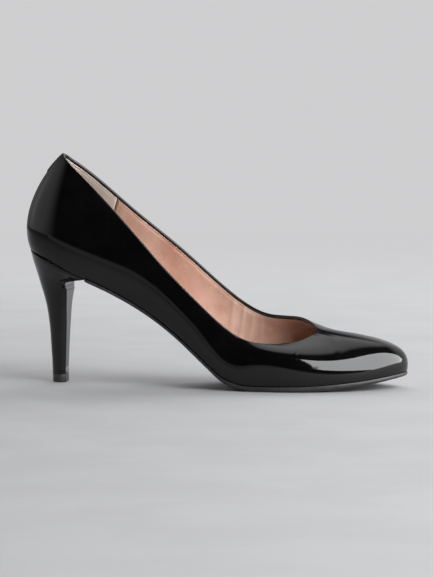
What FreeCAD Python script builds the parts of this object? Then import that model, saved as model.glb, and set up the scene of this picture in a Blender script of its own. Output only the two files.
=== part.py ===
import FreeCAD, Part
import math
import os

# A slim-heeled court shoe for the right foot, in millimetres.
# The origin is the middle of the ground face of the heel tip, +X runs to the toe,
# +Y to the inner (medial) side and +Z up.

V = FreeCAD.Vector
doc = FreeCAD.newDocument("court_shoe")

# ---------------------------------------------------------------- dimensions
DIMENSIONS = {
    # side profile of the feather line, where upper and sole meet
    "feather_height": 2.6,
    "toe_start": 145.0,
    "toe_radius": 350.0,
    "ball_start": 125.0,
    "ball_radius": 36.0,
    "waist_angle": 41.0,
    "waist_end": 86.0,
    "seat_start": 25.0,
    "seat_angle": 23.5,
    # upper: outer skin, stiffening layer, lining
    "glue_gap": 0.1,
    "patent_thick": 1.1,
    "backer_thick": 0.6,
    "lining_thick": 0.8,
    "lasting_margin": 12.0,
    "feather_round": 4.0,
    "lining_below_edge": 1.6,
    "seam_slit": 0.15,
    # bottom parts
    "sole_thick": 2.5,
    "waist_thick": 1.3,
    "sole_extension": 0.5,
    "sole_back_end": 23.2,
    "board_thick": 2.0,
    "board_joint": 98.0,
    "foam_thick": 2.0,
    "sock_thick": 0.8,
    "shank_width": 10.0,
    "shank_thick": 1.0,
    "shank_back": 15.0,
    "shank_front": 104.0,
    "rivet_radius": 1.6,
    "rivet_head_radius": 3.0,
    # heel and its fixings
    "tip_height": 5.0,
    "tip_back": 4.95,
    "tip_front": 4.2,
    "tip_half_width": 5.25,
    "tip_chamfer": 0.5,
    "cover_thick": 0.8,
    "tube_radius": 2.4,
    "tube_bore": 1.6,
    "tube_length": 45.0,
    "tube_x": -0.7,
    "pin_radius": 1.5,
    "pin_length": 15.0,
    "pin_start": 2.5,
    "screw_radius": 2.0,
    "screw_head_radius": 4.0,
    "screw_head_height": 1.6,
    "screw_length": 20.0,
    "nail_radius": 0.9,
    "nail_head_radius": 2.2,
    "nail_head_height": 0.8,
    "nail_length": 14.0,
    "nail_half_spacing": 7.0,
}

sheet = doc.addObject("Spreadsheet::Sheet", "dims")
for row, (alias, value) in enumerate(DIMENSIONS.items(), start=1):
    sheet.set(f"A{row}", alias)
    sheet.set(f"B{row}", str(value))
    sheet.setAlias(f"B{row}", alias)
doc.recompute()


def dim(alias):
    """The value of one named dimension, read back from the sheet."""
    return float(sheet.get(alias))


# ---------------------------------------------------------------- side profile
FEATHER = dim("feather_height")
TOE_START = dim("toe_start")
TOE_R = dim("toe_radius")
BALL_START = dim("ball_start")
BALL_R = dim("ball_radius")
WAIST = math.radians(dim("waist_angle"))
WAIST_END = dim("waist_end")
SEAT_START = dim("seat_start")
SEAT = math.radians(dim("seat_angle"))
ARCH_R = (WAIST_END - SEAT_START) / (math.sin(WAIST) - math.sin(SEAT))
BALL_END = BALL_START - BALL_R * math.sin(WAIST)
BALL_END_Z = FEATHER + BALL_R * (1.0 - math.cos(WAIST))
WAIST_END_Z = BALL_END_Z + (BALL_END - WAIST_END) * math.tan(WAIST)
SEAT_START_Z = WAIST_END_Z + ARCH_R * (math.cos(SEAT) - math.cos(WAIST))


def slope(x):
    """Slope angle of the feather line at x: 0 under the ball, negative rising to the toe."""
    if x > TOE_START:
        return -math.asin((x - TOE_START) / TOE_R)
    if x > BALL_START:
        return 0.0
    if x > BALL_END:
        return math.asin((BALL_START - x) / BALL_R)
    if x > WAIST_END:
        return WAIST
    if x > SEAT_START:
        return math.asin(math.sin(WAIST) - (WAIST_END - x) / ARCH_R)
    return SEAT


def feather_z(x):
    """Height of the feather line at x: toe arc, flat tread, ball arc, waist, arch arc, seat."""
    a = slope(x)
    if x > TOE_START:
        return FEATHER + TOE_R * (1.0 - math.cos(a))
    if x > BALL_START:
        return FEATHER
    if x > BALL_END:
        return FEATHER + BALL_R * (1.0 - math.cos(a))
    if x > WAIST_END:
        return BALL_END_Z + (BALL_END - x) * math.tan(WAIST)
    if x > SEAT_START:
        return WAIST_END_Z + ARCH_R * (math.cos(a) - math.cos(WAIST))
    return SEAT_START_Z + (SEAT_START - x) * math.tan(SEAT)


def profile_point(x, offset):
    """Point in the side plane at a distance above (+) or below (-) the feather line."""
    a = slope(x)
    return V(x + offset * math.sin(a), 0.0, feather_z(x) + offset * math.cos(a))


# ---------------------------------------------------------------- upper skin
# Stations round the shoe from the centre back along the outer side to the toe and back
# along the inner side. Each gives the feather point x y, the topline point x y z, and for
# the lower and the upper handle of the rib between them: length share, lean, bulge.
STATIONS = {
    "back": (-18.0, 0.0, 2.4, 0.0, 141.0, 0.30, 0.0, 8.0, 0.25, 1.0, 11.0),
    "back_outer": (-12.5, -14.5, 6.5, -9.0, 137.0, 0.30, 0.0, 7.5, 0.25, 1.0, 10.0),
    "heel_outer": (6.0, -23.5, 20.0, -15.5, 125.0, 0.32, 0.3, 6.0, 0.28, 1.0, 6.0),
    "seat_outer": (31.0, -24.0, 43.0, -20.0, 102.3, 0.34, 0.8, 5.0, 0.30, 1.0, 3.0),
    "waist_outer": (59.0, -22.5, 69.0, -25.0, 74.5, 0.34, 1.0, 5.0, 0.30, 1.0, 2.5),
    "arch_outer": (86.0, -27.5, 94.0, -29.0, 50.8, 0.34, 1.0, 4.6, 0.30, 1.0, 2.0),
    "joint_outer": (111.0, -34.0, 116.0, -29.5, 33.3, 0.36, 0.5, 2.8, 0.20, 1.0, 3.8),
    "ball_outer": (137.0, -37.0, 134.5, -26.0, 28.4, 0.53, 0.0, 2.2, 0.17, 1.0, 14.0),
    "fore_outer": (162.5, -34.0, 149.5, -18.0, 29.3, 0.59, 0.0, 4.2, 0.20, 0.6, 15.0),
    "toe_outer": (193.0, -21.5, 156.5, -8.5, 32.0, 0.66, 0.0, 4.2, 0.17, 0.0, 23.5),
    "toe": (213.6, 2.0, 159.4, 0.5, 34.6, 0.66, 0.0, 4.0, 0.16, 0.0, 45.5),
    "toe_inner": (203.0, 21.8, 157.2, 6.5, 36.8, 0.66, 0.0, 3.8, 0.20, 0.0, 25.5),
    "fore_inner": (173.8, 34.5, 149.0, 15.0, 40.7, 0.56, 0.0, 3.4, 0.20, 0.6, 13.0),
    "ball_inner": (145.0, 37.5, 136.0, 22.0, 41.6, 0.46, 0.2, 2.6, 0.20, 1.0, 9.0),
    "joint_inner": (115.0, 31.5, 119.5, 26.5, 44.2, 0.36, 0.8, 3.2, 0.30, 1.0, 3.5),
    "arch_inner": (86.0, 21.5, 98.0, 27.5, 58.3, 0.34, 1.0, 3.5, 0.30, 1.0, 2.5),
    "waist_inner": (58.0, 18.0, 71.5, 25.5, 81.6, 0.34, 1.0, 4.0, 0.30, 1.0, 2.5),
    "seat_inner": (31.0, 20.5, 45.0, 20.5, 103.9, 0.34, 0.8, 5.0, 0.30, 1.0, 3.0),
    "heel_inner": (6.0, 22.5, 20.0, 15.5, 126.0, 0.32, 0.3, 6.0, 0.28, 1.0, 6.0),
    "back_inner": (-12.5, 14.5, 6.5, 9.0, 137.0, 0.30, 0.0, 7.5, 0.25, 1.0, 10.0),
}


def closed_spline(values):
    """A smooth closed cubic through equally spaced values, as a function of 0..1."""
    n = len(values)
    second = [0.0] * n
    # the cyclic system has a dominant diagonal, so repeated sweeps settle quickly
    for sweep in range(60):
        for i in range(n):
            bend = 6.0 * (values[i - 1] - 2.0 * values[i] + values[(i + 1) % n])
            second[i] = (bend - second[i - 1] - second[(i + 1) % n]) / 4.0

    def at(u):
        place = (u % 1.0) * n
        i = int(place) % n
        j = (i + 1) % n
        f = place - int(place)
        g = 1.0 - f
        straight = values[i] * g + values[j] * f
        return straight + (second[i] * (g ** 3 - g) + second[j] * (f ** 3 - f)) / 6.0

    return at


COLUMNS = [closed_spline([s[k] for s in STATIONS.values()]) for k in range(11)]


def outward(at_x, at_y, u):
    """Unit normal in plan of a closed curve, pointing out of the shoe."""
    dx = at_x(u + 0.001) - at_x(u - 0.001)
    dy = at_y(u + 0.001) - at_y(u - 0.001)
    size = math.hypot(dx, dy)
    return V(dy / size, -dx / size, 0.0)


def rib(u):
    """The four handles of the wall's cross-section at u, feather first."""
    c = [column(u) for column in COLUMNS]
    foot = V(c[0], c[1], feather_z(c[0]))
    top = V(c[2], c[3], c[4])
    lean = V(top.x - foot.x, top.y - foot.y, 0.0)
    rise = V(0.0, 0.0, top.z - foot.z)
    low = foot + lean * (c[5] * c[6]) + rise * c[5] + outward(COLUMNS[0], COLUMNS[1], u) * c[7]
    high = top - lean * (c[8] * c[9]) - rise * c[8] + outward(COLUMNS[2], COLUMNS[3], u) * c[10]
    return foot, low, high, top


def on_rib(handles, v):
    """Point of a cubic rib at share v of its way up."""
    a, b, c, d = handles
    w = 1.0 - v
    return a * w ** 3 + b * (3.0 * w * w * v) + c * (3.0 * w * v * v) + d * v ** 3


MARGIN = dim("lasting_margin")
ROUND = dim("feather_round")


def skin(u, w):
    """Outer face of the upper: w 0..1 margin under the foot, 1..2 feather round, 2..3 wall."""
    handles = rib(u)
    foot = handles[0]
    start = ROUND / (3.0 * (handles[1] - foot).Length)
    if w >= 2.0:
        return on_rib(handles, start + (w - 2.0) * (1.0 - start))
    inward = outward(COLUMNS[0], COLUMNS[1], u) * -1.0
    if w <= 1.0:
        p = foot + inward * (MARGIN + (ROUND - MARGIN) * w)
        return V(p.x, p.y, feather_z(p.x))
    inner = foot + inward * ROUND
    inner = V(inner.x, inner.y, feather_z(inner.x))
    end = on_rib(handles, start)
    t = w - 1.0
    return inner * (1.0 - t) ** 2 + foot * (2.0 * t * (1.0 - t)) + end * t ** 2


def inside(u, w, depth):
    """Point at a depth inside the outer face."""
    h = 0.002
    along = skin(u + h, w) - skin(u - h, w)
    low = max(w - h, 0.0)
    high = min(w + h, 3.0)
    across = skin(u, high) - skin(u, low)
    normal = along.cross(across)
    normal.normalize()
    return skin(u, w) - normal * depth


def wall_length(u):
    """Length of the wall from feather to topline at u."""
    handles = rib(u)
    points = [on_rib(handles, k / 8.0) for k in range(9)]
    return sum((b - a).Length for a, b in zip(points, points[1:]))


def below_topline(u, distance):
    """The w value a given distance below the topline at u."""
    return 3.0 - distance / wall_length(u)


def solid_from(faces):
    """One closed solid from faces that meet edge to edge."""
    shell = Part.Shell(Part.Compound(faces).Faces)
    shell.sewShape()
    shell = shell.Shells[0]
    solid = Part.Solid(shell)
    if solid.Volume < 0.0:
        solid.reverse()
    return solid


def spline_poles(points):
    """Poles of the smooth cubic through points that lie one knot apart."""
    n = len(points)
    first = (points[1] * 18.0 - points[0] * 11.0 - points[2] * 9.0 + points[3] * 2.0) / 6.0
    last = (points[-2] * 18.0 - points[-1] * 11.0 - points[-3] * 9.0 + points[-4] * 2.0) / -6.0
    # slopes at the points, by forward elimination and back substitution
    slopes = [first] + [None] * (n - 2) + [last]
    factors = [0.0] * n
    carried = [first] + [None] * (n - 1)
    for i in range(1, n - 1):
        pivot = 4.0 - factors[i - 1]
        factors[i] = 1.0 / pivot
        carried[i] = ((points[i + 1] - points[i - 1]) * 3.0 - carried[i - 1]) / pivot
    for i in range(n - 2, 0, -1):
        slopes[i] = carried[i] - slopes[i + 1] * factors[i]
    poles = [points[0], points[0] + first / 3.0]
    for i in range(1, n - 1):
        leaving = points[i] + slopes[i] / 3.0
        arriving = points[i + 1] - slopes[i + 1] / 3.0
        poles.append(leaving * 2.0 - arriving)
    return poles + [points[-1] - last / 3.0, points[-1]]


def smooth_face(grid):
    """A smooth cubic surface through a grid of points."""
    across = [spline_poles(row) for row in grid]
    columns = [spline_poles(list(column)) for column in zip(*across)]
    poles = [list(row) for row in zip(*columns)]
    spans = [len(grid) - 1, len(grid[0]) - 1]
    knots = [[float(k) for k in range(count + 1)] for count in spans]
    mults = [[4] + [1] * (count - 1) + [4] for count in spans]
    surface = Part.BSplineSurface()
    surface.buildFromPolesMultsKnots(
        poles, mults[0], mults[1], knots[0], knots[1], False, False, 3, 3
    )
    return surface


def band_face(one, other):
    """The face ruled between two matching edge curves of smooth faces."""
    surface = Part.BSplineSurface()
    surface.buildFromPolesMultsKnots(
        [one.getPoles(), other.getPoles()],
        [2, 2],
        one.getMultiplicities(),
        [0.0, 1.0],
        one.getKnots(),
        False,
        False,
        1,
        3,
    )
    return surface.toShape()


def layer(starts, rows_at, depth, thick):
    """A curved sheet of the upper between two depths, over given u values and w rows."""
    sides = []
    for deep in (depth, depth + thick):
        grid = [[inside(u, w, deep) for w in rows_at(u)] for u in starts]
        sides.append(smooth_face(grid))
    outer, inner = sides
    faces = [outer.toShape(), inner.toShape()]
    u0, u1, v0, v1 = outer.bounds()
    for u in (u0, u1):
        faces.append(band_face(outer.uIso(u), inner.uIso(u)))
    for v in (v0, v1):
        faces.append(band_face(outer.vIso(v), inner.vIso(v)))
    return solid_from(faces)


def spread(first, last, count):
    """Equally spaced values with both ends."""
    return [first + (last - first) * k / (count - 1) for k in range(count)]


def add_shape(name, shape):
    """A sub-part with a free-form shape of its own."""
    part = doc.addObject("Part::Feature", name)
    part.Label = name
    part.Shape = shape
    part.Placement = FreeCAD.Placement()
    return part


GAP = dim("glue_gap")
PATENT = dim("patent_thick")
BACKER = dim("backer_thick")
LINING = dim("lining_thick")
BACKER_DEPTH = PATENT + GAP
LINING_DEPTH = BACKER_DEPTH + BACKER + GAP
WALL_DEPTH = LINING_DEPTH + LINING

MARGIN_ROWS = [0.0, 0.3, 0.57, 0.8, 1.0, 1.2, 1.4, 1.6, 1.8]
WALL_ROWS = [0.0, 0.03, 0.07, 0.12, 0.18, 0.25, 0.33, 0.41, 0.5, 0.59, 0.68, 0.77, 0.85, 0.93, 1.0]
SLIT = dim("seam_slit") / 2.0 / 500.0


def patent_rows(u):
    return MARGIN_ROWS + [2.0 + r for r in WALL_ROWS]


# the patent skin: one sheet closed by a narrow seam at the centre back
add_shape("upper_patent", layer(spread(SLIT, 1.0 - SLIT, 101), patent_rows, 0.0, PATENT))

EDGE = dim("lining_below_edge")
QUARTER_SEAM = 0.1275
SEAM = 0.0006


def lining_rows(u):
    top = below_topline(u, EDGE) - 2.0
    return [1.6, 1.8] + [2.0 + r * top for r in WALL_ROWS]


quarter = spread(-QUARTER_SEAM + SEAM, QUARTER_SEAM - SEAM, 31)
vamp = spread(QUARTER_SEAM + SEAM, 1.0 - QUARTER_SEAM - SEAM, 75)
add_shape("quarter_lining", layer(quarter, lining_rows, LINING_DEPTH, LINING))
add_shape("vamp_lining", layer(vamp, lining_rows, LINING_DEPTH, LINING))

# the stiffening layer between skin and lining: counter, two side pieces, puff, vamp piece
PUFF_SIDE = 0.40
PUFF_TOP = 2.62
COUNTER_SIDE = 0.13


def counter_rows(u):
    share = (u / COUNTER_SIDE) ** 2
    return spread(2.0, 2.86 - 0.28 * share, 9)


def side_rows(u):
    return spread(2.0, below_topline(u, EDGE + 1.0), 10)


def puff_rows(u):
    return spread(2.0, PUFF_TOP, 8)


def above_puff_rows(u):
    return spread(PUFF_TOP + 0.012, below_topline(u, EDGE + 1.0), 7)


add_shape("heel_counter", layer(spread(-0.129, 0.129, 31), counter_rows, BACKER_DEPTH, BACKER))
sides = [
    layer(spread(0.131, PUFF_SIDE - 0.001, 27), side_rows, BACKER_DEPTH, BACKER),
    layer(spread(0.601, 0.869, 27), side_rows, BACKER_DEPTH, BACKER),
]
add_shape("side_backers", Part.Compound(sides))
toe_span = spread(PUFF_SIDE, 0.60, 25)
add_shape("toe_puff", layer(toe_span, puff_rows, BACKER_DEPTH, BACKER))
add_shape("vamp_backer", layer(toe_span, above_puff_rows, BACKER_DEPTH, BACKER))

# the narrow patent tab that covers the top of the back seam
TAB_HALF = 0.012


def tab_rows(u):
    share = 1.0 - 0.55 * (u / TAB_HALF) ** 2
    return spread(3.0 - 0.235 * share, 2.992, 7)


add_shape("back_tab", layer(spread(-TAB_HALF, TAB_HALF, 9), tab_rows, -1.0, 0.9))


# ---------------------------------------------------------------- bottom parts
def profile_path(offset, first, last):
    """Tangent lines and arcs that follow the feather line at a fixed distance."""
    breaks = [SEAT_START, WAIST_END, BALL_END, BALL_START, TOE_START]
    places = [first] + [x for x in breaks if first < x < last] + [last]
    curves = []
    for start, end in zip(places, places[1:]):
        a = profile_point(start, offset)
        b = profile_point(end, offset)
        middle = profile_point((start + end) / 2.0, offset)
        bent = abs(slope(start) - slope(end)) > 1e-6
        if bent:
            curves.append(Part.Arc(a, middle, b).toShape())
        else:
            curves.append(Part.LineSegment(a, b).toShape())
    return curves


def profile_face(low, high):
    """A side-view face between a lower and an upper path that run the same way."""
    ends = []
    for one, other in ((low[0], high[0]), (low[-1], high[-1])):
        k = 0 if one is low[0] else -1
        ends.append(Part.LineSegment(one.Vertexes[k].Point, other.Vertexes[k].Point).toShape())
    edges = low + high + ends
    return Part.Face(Part.Wire(Part.__sortEdges__(edges)))


def bound(owner, target, formula):
    """Tie one property to the sheet."""
    owner.setExpression(target, formula)


def extruded(name, face, direction, length, start):
    """A straight extrusion of a flat face, used to cut plates to shape."""
    base = add_shape(name + "_outline", face)
    base.Placement = FreeCAD.Placement(start, FreeCAD.Rotation())
    block = doc.addObject("Part::Extrusion", name + "_block")
    block.Base = base
    block.DirMode = "Custom"
    block.Dir = direction
    block.LengthFwd = length
    block.Solid = True
    return block


def plate(name, side_face, plan_face):
    """The part of a curved slab that lies inside an outline drawn in plan."""
    slab = extruded(name + "_side", side_face, V(0, 1, 0), 100.0, V(0, -50.0, 0))
    plan = extruded(name + "_plan", plan_face, V(0, 0, 1), 200.0, V(0, 0, -20.0))
    part = doc.addObject("Part::MultiCommon", name)
    part.Label = name
    part.Shapes = [slab, plan]
    return part


def closed_curve(points):
    """A smooth closed outline through points, as a flat face."""
    curve = Part.BSplineCurve()
    curve.interpolate(Points=points, PeriodicFlag=True)
    return Part.Face(Part.Wire(curve.toShape()))


def offset_outline(distance, count=72):
    """The feather outline in plan, moved outwards by a distance."""
    points = []
    for k in range(count):
        u = k / count
        points.append(V(COLUMNS[0](u), COLUMNS[1](u), 0.0) + outward(COLUMNS[0], COLUMNS[1], u) * distance)
    return closed_curve(points)


def inner_outline(height, clearance, count=72):
    """The plan outline of the room inside the lining at a height over the feather line."""
    points = []
    for k in range(count):
        u = k / count
        low = 1.3
        high = 2.6
        # halve the range of w until the inner wall is at the wanted height
        for step in range(20):
            w = (low + high) / 2.0
            p = inside(u, w, WALL_DEPTH + clearance)
            if (p.z - feather_z(p.x)) * math.cos(slope(p.x)) < height:
                low = w
            else:
                high = w
        points.append(V(p.x, p.y, 0.0))
    return closed_curve(points)


SOLE_TOP = -GAP
SOLE_BOTTOM = -FEATHER
WAIST_BOTTOM = -(GAP + dim("waist_thick"))
SOLE_BACK = dim("sole_back_end")
BOARD_LOW = PATENT + GAP
BOARD_HIGH = BOARD_LOW + dim("board_thick")
FOAM_LOW = BOARD_HIGH + 0.05
FOAM_HIGH = FOAM_LOW + dim("foam_thick")
SOCK_LOW = FOAM_HIGH + 0.05
SOCK_HIGH = SOCK_LOW + dim("sock_thick")

# outsole: its underside leaves the thin waist in one arc tangent to the ground
corner = BALL_END + (BALL_END_Z + WAIST_BOTTOM / math.cos(WAIST)) / math.tan(WAIST)
reach = BALL_START - corner
sweep_radius = reach / math.tan(WAIST / 2.0)
arc_start = V(corner - reach * math.cos(WAIST), 0.0, reach * math.sin(WAIST))
half = WAIST / 2.0
arc_middle = V(
    BALL_START - sweep_radius * math.sin(half), 0.0, sweep_radius * (1.0 - math.cos(half))
)
arc_end = V(BALL_START, 0.0, 0.0)
under = profile_path(WAIST_BOTTOM, SOLE_BACK, BALL_END)
under.append(Part.LineSegment(profile_point(BALL_END, WAIST_BOTTOM), arc_start).toShape())
under.append(Part.Arc(arc_start, arc_middle, arc_end).toShape())
under += profile_path(SOLE_BOTTOM, BALL_START, 225.0)
over = profile_path(SOLE_TOP, SOLE_BACK, 225.0)
extension = dim("sole_extension")
outsole = plate("outsole", profile_face(under, over), offset_outline(extension))


def slab_face(low, high, first, last):
    """Side-view face of an even slab."""
    return profile_face(profile_path(low, first, last), profile_path(high, first, last))


JOINT = dim("board_joint")
board_plan = inner_outline(BOARD_LOW + 1.0, 1.0)
backpart_blank = plate(
    "backpart_blank", slab_face(BOARD_LOW, BOARD_HIGH, -30.0, JOINT - GAP), board_plan
)
forepart_board = plate(
    "insole_forepart", slab_face(BOARD_LOW, BOARD_HIGH, JOINT + GAP, 225.0), board_plan
)
foam = plate(
    "insole_foam", slab_face(FOAM_LOW, FOAM_HIGH, -30.0, 225.0), inner_outline(FOAM_LOW + 0.4, 0.7)
)
sock = plate(
    "sock_lining", slab_face(SOCK_LOW, SOCK_HIGH, -30.0, 225.0), inner_outline(SOCK_LOW, 0.4)
)
FILLER_LOW = 0.05
FILLER_HIGH = PATENT + 0.05
filler_blank = plate(
    "filler_blank", slab_face(FILLER_LOW, FILLER_HIGH, -30.0, 225.0), offset_outline(-MARGIN - 0.6)
)

# ---------------------------------------------------------------- shank and fixings
SEAT_Z = feather_z(0.0)
ACROSS_SEAT = FreeCAD.Rotation(V(0, 1, 0), math.degrees(SEAT))


def cylinder(name, radius, height, base, turn=FreeCAD.Rotation(), grow=0.0):
    """A straight pin whose radius and height come from the sheet."""
    pin = doc.addObject("Part::Cylinder", name)
    bound(pin, "Radius", f"dims.{radius} + {grow}" if grow else f"dims.{radius}")
    bound(pin, "Height", height)
    pin.Placement = FreeCAD.Placement(base, turn)
    return pin


def fastener(name, place, turn, stem, stem_long, head, head_high, grow=0.0):
    """A headed pin: its axis points up, its head is flush with the given place."""
    axis = turn.multVec(V(0, 0, 1))
    whole = dim(stem_long) + grow
    foot = place - axis * whole
    rod = cylinder(name + "_rod", stem, f"dims.{stem_long} + {grow}", foot, turn, grow)
    high = dim(head_high)
    cap_foot = place - axis * (high + grow)
    cap = cylinder(name + "_cap", head, f"dims.{head_high} + {2.0 * grow}", cap_foot, turn, grow)
    both = doc.addObject("Part::MultiFuse", name)
    both.Shapes = [rod, cap]
    return both


def seat_place(along, side):
    """A place on the top of the insole board over the heel seat."""
    return V(0, 0, SEAT_Z) + ACROSS_SEAT.multVec(V(along, side, BOARD_HIGH - 0.02))


SCREW = ("screw_radius", "screw_length", "screw_head_radius", "screw_head_height")
NAIL = ("nail_radius", "nail_length", "nail_head_radius", "nail_head_height")
screw = fastener("heel_screw", seat_place(3.0, 0.0), ACROSS_SEAT, *SCREW)
screw.Label = "heel_screw"
spacing = dim("nail_half_spacing")
nail_places = [
    seat_place(along, side)
    for along in (-1.5, 7.5)
    for side in (-spacing, spacing)
]
nails = [
    fastener(f"nail_{k}", place, ACROSS_SEAT, *NAIL)
    for k, place in enumerate(nail_places, start=1)
]
nail_group = doc.addObject("Part::Compound", "heel_nails")
nail_group.Label = "heel_nails"
nail_group.Links = nails

clearances = [fastener("screw_hole", seat_place(3.0, 0.0), ACROSS_SEAT, *SCREW, 0.05)]
for k, place in enumerate(nail_places, start=1):
    clearances.append(fastener(f"nail_hole_{k}", place, ACROSS_SEAT, *NAIL, 0.05))
seat_holes = doc.addObject("Part::Compound", "seat_holes")
seat_holes.Links = clearances

# spring-steel shank under the board, held by two rivets
SHANK_LOW = 0.1
SHANK_HIGH = SHANK_LOW + dim("shank_thick")
SHANK_BACK = dim("shank_back")
SHANK_FRONT = dim("shank_front")
half_shank = dim("shank_width") / 2.0


def strip_outline(back, front, half_width):
    """A strip in plan with half-round ends."""
    a = V(back + half_width, -half_width, 0)
    b = V(front - half_width, -half_width, 0)
    c = V(front - half_width, half_width, 0)
    d = V(back + half_width, half_width, 0)
    edges = [
        Part.LineSegment(a, b).toShape(),
        Part.Arc(b, V(front, 0, 0), c).toShape(),
        Part.LineSegment(c, d).toShape(),
        Part.Arc(d, V(back, 0, 0), a).toShape(),
    ]
    return Part.Face(Part.Wire(edges))


shank_blank = plate(
    "shank_blank",
    slab_face(SHANK_LOW, SHANK_HIGH, SHANK_BACK - 5.0, SHANK_FRONT + 5.0),
    strip_outline(SHANK_BACK, SHANK_FRONT, half_shank),
)
shank_room = extruded(
    "shank_room", strip_outline(SHANK_BACK - 0.3, SHANK_FRONT + 0.3, half_shank + 0.3),
    V(0, 0, 1), 200.0, V(0, 0, -20.0),
)

rivets = []
rivet_holes = []
for k, x in enumerate((24.0, 92.0), start=1):
    turn = FreeCAD.Rotation(V(0, 1, 0), math.degrees(slope(x)))
    foot = profile_point(x, SHANK_LOW + 0.02)
    top = profile_point(x, BOARD_HIGH - 0.02)
    head_foot = profile_point(x, BOARD_HIGH - 0.82)
    length = (top - foot).Length
    for grow, kept in ((0.0, rivets), (0.05, rivet_holes)):
        tag = f"rivet_{k}" if kept is rivets else f"rivet_hole_{k}"
        low = profile_point(x, SHANK_LOW + 0.02 - 4.0 * grow)
        rod = cylinder(tag + "_rod", "rivet_radius", f"{length + 8.0 * grow}", low, turn, grow)
        flat = profile_point(x, BOARD_HIGH - 0.82 - grow)
        cap = cylinder(tag + "_cap", "rivet_head_radius", f"{0.8 + 3.0 * grow}", flat, turn, grow)
        both = doc.addObject("Part::MultiFuse", tag)
        both.Shapes = [rod, cap]
        kept.append(both)
rivet_group = doc.addObject("Part::Compound", "shank_rivets")
rivet_group.Label = "shank_rivets"
rivet_group.Links = rivets
rivet_room = doc.addObject("Part::Compound", "rivet_room")
rivet_room.Links = rivet_holes


def cut(name, base, tools):
    """A blank with several tools taken out of it, one after another."""
    for k, tool in enumerate(tools, start=1):
        last = k == len(tools)
        step = doc.addObject("Part::Cut", name if last else f"{name}_step_{k}")
        step.Base = base
        step.Tool = tool
        base = step
    base.Label = name
    return base


shank = cut("shank", shank_blank, [rivet_room])
backpart = cut("insole_backpart", backpart_blank, [seat_holes, rivet_room])
filler = cut("bottom_filler", filler_blank, [shank_room, seat_holes])

# ---------------------------------------------------------------- heel
# Levels of the heel from the tip up: height and tilt of the cutting plane, then the
# distances to the back and to the breast and the half width, measured in that plane, and
# the width of the flat breast as a share of the whole width there.
HEEL_LEVELS = [
    (5.05, 0.0, 5.0, 3.85, 5.25, 0.80),
    (12.0, 0.0, 5.3, 4.1, 5.5, 0.80),
    (22.0, 0.0, 5.9, 4.5, 6.0, 0.80),
    (37.0, 3.0, 7.1, 5.1, 7.4, 0.80),
    (49.0, 8.0, 9.4, 5.6, 9.7, 0.80),
    (58.0, 14.0, 12.8, 6.5, 13.2, 0.80),
    (65.0, 19.0, 15.9, 7.3, 17.6, 0.84),
    (69.5, 22.0, 18.2, 14.0, 21.0, 0.93),
    (72.3, 23.5, 19.3, 20.6, 23.1, 0.97),
    (76.0, 23.5, 20.2, 26.0, 24.2, 0.97),
]
TIP = dim("tip_height")
COVER = dim("cover_thick")


# the tip follows the lowest level of the heel
TIP_BREAST_SHARE = 0.80


def heel_section(sketch, back, front, half_width, corner, share):
    """A D outline: elliptical back, sides drawn in to a flat breast with bevelled corners."""
    deep = 1.05 * half_width
    centre = deep - back
    ellipse = Part.Ellipse(V(centre, 0, 0), deep, half_width)
    edge = front - corner
    breast = half_width * share
    inner = breast - corner
    places = [
        V(centre, -half_width, 0),
        V(edge, -breast, 0),
        V(front, -inner, 0),
        V(front, inner, 0),
        V(edge, breast, 0),
        V(centre, half_width, 0),
    ]
    sketch.addGeometry(Part.ArcOfEllipse(ellipse, math.pi / 2.0, 1.5 * math.pi))
    for a, b in zip(places, places[1:]):
        sketch.addGeometry(Part.LineSegment(a, b))


def origin_plane(body, role):
    """One of a body's own origin planes."""
    return [f for f in body.Origin.OriginFeatures if f.Role == role][0]


def heel_loft(body, tag, inset, kind):
    """Loft the heel levels, each moved inwards by an inset."""
    sketches = []
    for k, (height, tilt, back, front, half_width, share) in enumerate(HEEL_LEVELS, start=1):
        sketch = body.newObject("Sketcher::SketchObject", f"{tag}_level_{k}")
        sketch.AttachmentSupport = [(origin_plane(body, "XY_Plane"), "")]
        sketch.MapMode = "FlatFace"
        turn = FreeCAD.Rotation(V(0, 1, 0), tilt)
        sketch.AttachmentOffset = FreeCAD.Placement(V(0, 0, height), turn)
        corner = 0.9 - 0.3 * inset
        heel_section(sketch, back - inset, front - inset, half_width - inset, corner, share)
        sketches.append(sketch)
    bound(sketches[0], "AttachmentOffset.Base.z", "dims.tip_height + 0.05")
    loft = body.newObject(kind, f"{tag}_loft")
    loft.Profile = sketches[0]
    loft.Sections = sketches[1:]
    loft.Ruled = False
    body.Tip = loft
    return loft


def trim_to_seat(body, tag):
    """Take away everything above the sloping seat."""
    sketch = body.newObject("Sketcher::SketchObject", f"{tag}_seat")
    sketch.AttachmentSupport = [(origin_plane(body, "XZ_Plane"), "")]
    sketch.MapMode = "FlatFace"
    back = V(-40.0, SEAT_Z - 0.1 + 40.0 * math.tan(SEAT), 0)
    front = V(40.0, SEAT_Z - 0.1 - 40.0 * math.tan(SEAT), 0)
    corners = [back, front, V(40.0, 120.0, 0), V(-40.0, 120.0, 0)]
    for a, b in zip(corners, corners[1:] + corners[:1]):
        sketch.addGeometry(Part.LineSegment(a, b))
    pocket = body.newObject("PartDesign::Pocket", f"{tag}_seat_cut")
    pocket.Profile = sketch
    pocket.Length = 120.0
    pocket.Midplane = True
    body.Tip = pocket
    return pocket


cover = doc.addObject("PartDesign::Body", "heel_cover")
cover.Label = "heel_cover"
heel_loft(cover, "cover_outer", 0.0, "PartDesign::AdditiveLoft")
heel_loft(cover, "cover_inner", COVER, "PartDesign::SubtractiveLoft")
trim_to_seat(cover, "cover")

core = doc.addObject("PartDesign::Body", "heel_core")
heel_loft(core, "core", COVER + 0.05, "PartDesign::AdditiveLoft")
trim_to_seat(core, "core")

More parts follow.
